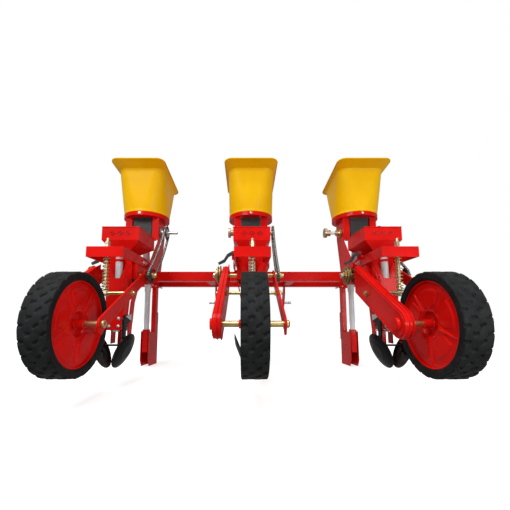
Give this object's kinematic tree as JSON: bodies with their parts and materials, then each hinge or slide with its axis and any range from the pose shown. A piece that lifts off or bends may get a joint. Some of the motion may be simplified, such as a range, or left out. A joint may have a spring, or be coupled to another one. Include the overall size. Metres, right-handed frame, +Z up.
{
  "type": "corn planter",
  "caption": "Tractor-mounted maize planter: row units on two cross beams, each with fertiliser hopper, seed box, openers, covering discs and a sprung drive wheel.",
  "frame": {"origin": "middle of the machine seen from above, at the level of its lowest point, the fertiliser opener's tip", "axes": "+X to the right seen from behind, +Y forward to the tractor, +Z up"},
  "size_m": [1.832, 1.53, 1.302],
  "materials": {
    "red_paint": "gloss",
    "yellow_plastic": "satin",
    "tyre_rubber": "matte",
    "zinc": "yellow zinc plating",
    "chain_steel": "oiled",
    "grey_casting": "as cast",
    "grey_plastic": "translucent",
    "brass": "satin",
    "black_casting": "black paint",
    "black_paint": "semi-gloss"
  },
  "bodies": {
    "frame": {"cross_beams": "red_paint", "hitch_frame": "red_paint", "beam_clamp_bolts": "zinc", "seed_meters": "grey_casting", "fertiliser_meters": "red_paint", "seed_tubes": "grey_plastic", "fertiliser_tubes": "grey_plastic", "meter_drive_chains": "chain_steel", "spring_brackets": "red_paint", "unit_frame_left": "red_paint", "seed_box_left": "red_paint", "fertiliser_hopper_left": "yellow_plastic", "seed_opener_left": "red_paint", "fertiliser_opener_left": "red_paint", "unit_frame_centre": "red_paint", "seed_box_centre": "red_paint", "fertiliser_hopper_centre": "yellow_plastic", "seed_opener_centre": "red_paint", "fertiliser_opener_centre": "red_paint", "unit_frame_right": "red_paint", "seed_box_right": "red_paint", "fertiliser_hopper_right": "yellow_plastic", "seed_opener_right": "red_paint", "fertiliser_opener_right": "red_paint"},
    "arm_left": {"wheel_arm_left": "red_paint", "arm_pin_and_chain_left": "zinc"},
    "wheel_left": {"tyre_left": "tyre_rubber", "wheel_disc_left": "red_paint"},
    "rod_left": {"spring_rod_left": "zinc", "spring_left": "zinc"},
    "shaft_left": {"drive_shaft_left": "zinc"},
    "meter_left": {"metering_shaft_left": "zinc"},
    "knob_left": {"adjusting_knob_left": "brass"},
    "lever_left": {"clutch_lever_left": "black_casting"},
    "disc_left_left": {"covering_disc_left_left": "black_paint"},
    "disc_right_left": {"covering_disc_right_left": "black_paint"},
    "arm_centre": {"wheel_arm_centre": "red_paint", "arm_pin_and_chain_centre": "zinc"},
    "wheel_centre": {"tyre_centre": "tyre_rubber", "wheel_disc_centre": "red_paint"},
    "rod_centre": {"spring_rod_centre": "zinc", "spring_centre": "zinc"},
    "shaft_centre": {"drive_shaft_centre": "zinc"},
    "meter_centre": {"metering_shaft_centre": "zinc"},
    "knob_centre": {"adjusting_knob_centre": "brass"},
    "lever_centre": {"clutch_lever_centre": "black_casting"},
    "disc_left_centre": {"covering_disc_left_centre": "black_paint"},
    "disc_right_centre": {"covering_disc_right_centre": "black_paint"},
    "arm_right": {"wheel_arm_right": "red_paint", "arm_pin_and_chain_right": "zinc"},
    "wheel_right": {"tyre_right": "tyre_rubber", "wheel_disc_right": "red_paint"},
    "rod_right": {"spring_rod_right": "zinc", "spring_right": "zinc"},
    "shaft_right": {"drive_shaft_right": "zinc"},
    "meter_right": {"metering_shaft_right": "zinc"},
    "knob_right": {"adjusting_knob_right": "brass"},
    "lever_right": {"clutch_lever_right": "black_casting"},
    "disc_left_right": {"covering_disc_left_right": "black_paint"},
    "disc_right_right": {"covering_disc_right_right": "black_paint"}
  },
  "joints": [
    {"name": "arm_swing_left", "type": "hinge", "parent": "frame", "child": "arm_left", "pos_m": [-0.7, -0.101, 0.563], "axis": [-1, 0, 0], "range_deg": [0, 12], "stiffness_Nm_per_rad": 950, "springref_deg": -11.46},
    {"name": "wheel_spin_left", "type": "hinge", "parent": "arm_left", "child": "wheel_left", "pos_m": [-0.7, -0.565, 0.312], "axis": [1, 0, 0], "continuous": true},
    {"name": "rod_tilt_left", "type": "hinge", "parent": "arm_left", "child": "rod_left", "pos_m": [-0.7, -0.31, 0.44994], "axis": [-1, 0, 0], "range_deg": [-6, 0], "deforming": ["spring_left"]},
    {"name": "shaft_spin_left", "type": "hinge", "parent": "frame", "child": "shaft_left", "pos_m": [-0.7, -0.101, 0.563], "axis": [1, 0, 0], "continuous": true},
    {"name": "meter_spin_left", "type": "hinge", "parent": "frame", "child": "meter_left", "pos_m": [-0.7, 0.178, 0.884], "axis": [1, 0, 0], "continuous": true},
    {"name": "knob_turn_left", "type": "hinge", "parent": "meter_left", "child": "knob_left", "pos_m": [-0.89, 0.178, 0.884], "axis": [1, 0, 0], "continuous": true},
    {"name": "lever_lift_left", "type": "hinge", "parent": "frame", "child": "lever_left", "pos_m": [-0.802, -0.102, 0.69], "axis": [0, 1, 0], "range_deg": [0, 45]},
    {"name": "disc_left_spin_left", "type": "hinge", "parent": "frame", "child": "disc_left_left", "pos_m": [-0.768, -0.197, 0.164], "axis": [-0.9249, -0.0647, -0.3746], "continuous": true},
    {"name": "disc_right_spin_left", "type": "hinge", "parent": "frame", "child": "disc_right_left", "pos_m": [-0.632, -0.197, 0.164], "axis": [0.9249, -0.0647, -0.3746], "continuous": true},
    {"name": "arm_swing_centre", "type": "hinge", "parent": "frame", "child": "arm_centre", "pos_m": [0, -0.101, 0.563], "axis": [-1, 0, 0], "range_deg": [0, 12], "stiffness_Nm_per_rad": 950, "springref_deg": -11.46},
    {"name": "wheel_spin_centre", "type": "hinge", "parent": "arm_centre", "child": "wheel_centre", "pos_m": [0, -0.565, 0.312], "axis": [1, 0, 0], "continuous": true},
    {"name": "rod_tilt_centre", "type": "hinge", "parent": "arm_centre", "child": "rod_centre", "pos_m": [0, -0.31, 0.44994], "axis": [-1, 0, 0], "range_deg": [-6, 0], "deforming": ["spring_centre"]},
    {"name": "shaft_spin_centre", "type": "hinge", "parent": "frame", "child": "shaft_centre", "pos_m": [0, -0.101, 0.563], "axis": [1, 0, 0], "continuous": true},
    {"name": "meter_spin_centre", "type": "hinge", "parent": "frame", "child": "meter_centre", "pos_m": [0, 0.178, 0.884], "axis": [1, 0, 0], "continuous": true},
    {"name": "knob_turn_centre", "type": "hinge", "parent": "meter_centre", "child": "knob_centre", "pos_m": [-0.128, 0.178, 0.884], "axis": [1, 0, 0], "continuous": true},
    {"name": "lever_lift_centre", "type": "hinge", "parent": "frame", "child": "lever_centre", "pos_m": [-0.102, -0.102, 0.69], "axis": [0, 1, 0], "range_deg": [0, 45]},
    {"name": "disc_left_spin_centre", "type": "hinge", "parent": "frame", "child": "disc_left_centre", "pos_m": [-0.068, -0.197, 0.164], "axis": [-0.9249, -0.0647, -0.3746], "continuous": true},
    {"name": "disc_right_spin_centre", "type": "hinge", "parent": "frame", "child": "disc_right_centre", "pos_m": [0.068, -0.197, 0.164], "axis": [0.9249, -0.0647, -0.3746], "continuous": true},
    {"name": "arm_swing_right", "type": "hinge", "parent": "frame", "child": "arm_right", "pos_m": [0.7, -0.101, 0.563], "axis": [-1, 0, 0], "range_deg": [0, 12], "stiffness_Nm_per_rad": 950, "springref_deg": -11.46},
    {"name": "wheel_spin_right", "type": "hinge", "parent": "arm_right", "child": "wheel_right", "pos_m": [0.7, -0.565, 0.312], "axis": [1, 0, 0], "continuous": true},
    {"name": "rod_tilt_right", "type": "hinge", "parent": "arm_right", "child": "rod_right", "pos_m": [0.7, -0.31, 0.44994], "axis": [-1, 0, 0], "range_deg": [-6, 0], "deforming": ["spring_right"]},
    {"name": "shaft_spin_right", "type": "hinge", "parent": "frame", "child": "shaft_right", "pos_m": [0.7, -0.101, 0.563], "axis": [1, 0, 0], "continuous": true},
    {"name": "meter_spin_right", "type": "hinge", "parent": "frame", "child": "meter_right", "pos_m": [0.7, 0.178, 0.884], "axis": [1, 0, 0], "continuous": true},
    {"name": "knob_turn_right", "type": "hinge", "parent": "meter_right", "child": "knob_right", "pos_m": [0.51, 0.178, 0.884], "axis": [1, 0, 0], "continuous": true},
    {"name": "lever_lift_right", "type": "hinge", "parent": "frame", "child": "lever_right", "pos_m": [0.598, -0.102, 0.69], "axis": [0, 1, 0], "range_deg": [0, 45]},
    {"name": "disc_left_spin_right", "type": "hinge", "parent": "frame", "child": "disc_left_right", "pos_m": [0.632, -0.197, 0.164], "axis": [-0.9249, -0.0647, -0.3746], "continuous": true},
    {"name": "disc_right_spin_right", "type": "hinge", "parent": "frame", "child": "disc_right_right", "pos_m": [0.768, -0.197, 0.164], "axis": [0.9249, -0.0647, -0.3746], "continuous": true}
  ],
  "couplings": [
    {"joint": "rod_tilt_left", "follows": "arm_swing_left", "ratio": -0.475},
    {"joint": "shaft_spin_left", "follows": "wheel_spin_left", "ratio": 1},
    {"joint": "meter_spin_left", "follows": "wheel_spin_left", "ratio": 0.90476},
    {"joint": "rod_tilt_centre", "follows": "arm_swing_centre", "ratio": -0.475},
    {"joint": "shaft_spin_centre", "follows": "wheel_spin_centre", "ratio": 1},
    {"joint": "meter_spin_centre", "follows": "wheel_spin_centre", "ratio": 0.90476},
    {"joint": "rod_tilt_right", "follows": "arm_swing_right", "ratio": -0.475},
    {"joint": "shaft_spin_right", "follows": "wheel_spin_right", "ratio": 1},
    {"joint": "meter_spin_right", "follows": "wheel_spin_right", "ratio": 0.90476}
  ]
}
